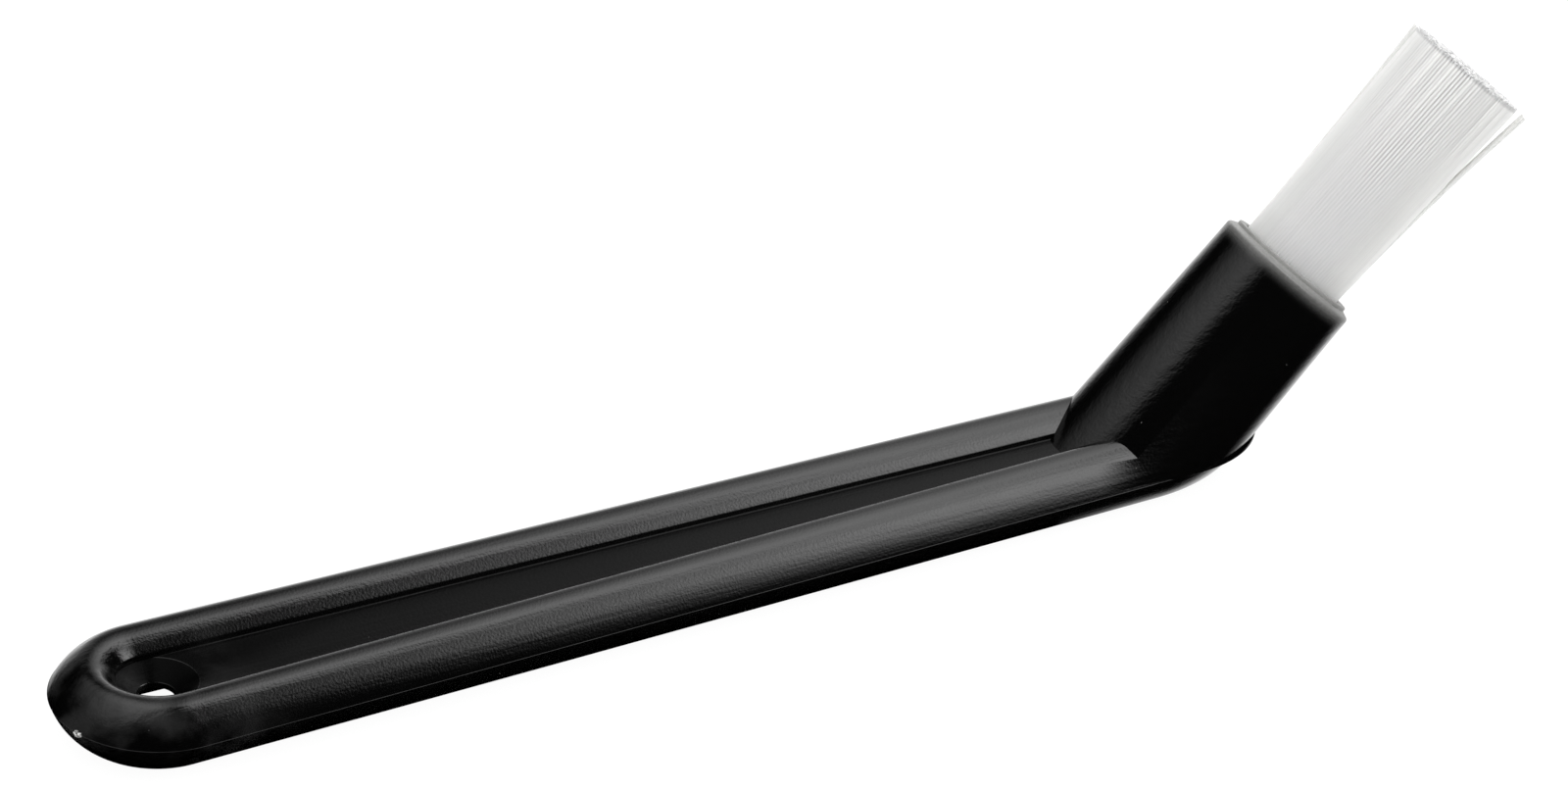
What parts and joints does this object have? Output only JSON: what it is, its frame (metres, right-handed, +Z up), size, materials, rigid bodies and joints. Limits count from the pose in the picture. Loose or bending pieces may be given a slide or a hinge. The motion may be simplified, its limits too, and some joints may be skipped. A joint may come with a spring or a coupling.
{
  "type": "coffee machine cleaning brush",
  "caption": "Hand brush for coffee machine group heads: ribbed black moulded handle with a hanging hole and an angled round socket that holds a bundle of white nylon bristles.",
  "frame": {"origin": "on the resting plane, where the flat of the underside crosses the plane of symmetry at the hanging end", "axes": "+X along the handle towards the bristles, +Y across the handle, +Z up out of the channel, away from what the brush lies on"},
  "size_m": [0.2502, 0.033, 0.0667],
  "materials": {
    "black_plastic": "injection-moulded, glossy, with faint flow marks",
    "clear_resin": "poured and cured, amber, hidden in the bore",
    "white_nylon": "translucent extruded monofilament, cut ends"
  },
  "bodies": {
    "root": {"handle": "black_plastic", "resin_plug": "clear_resin", "bristle_bundle": "white_nylon"}
  },
  "joints": []
}
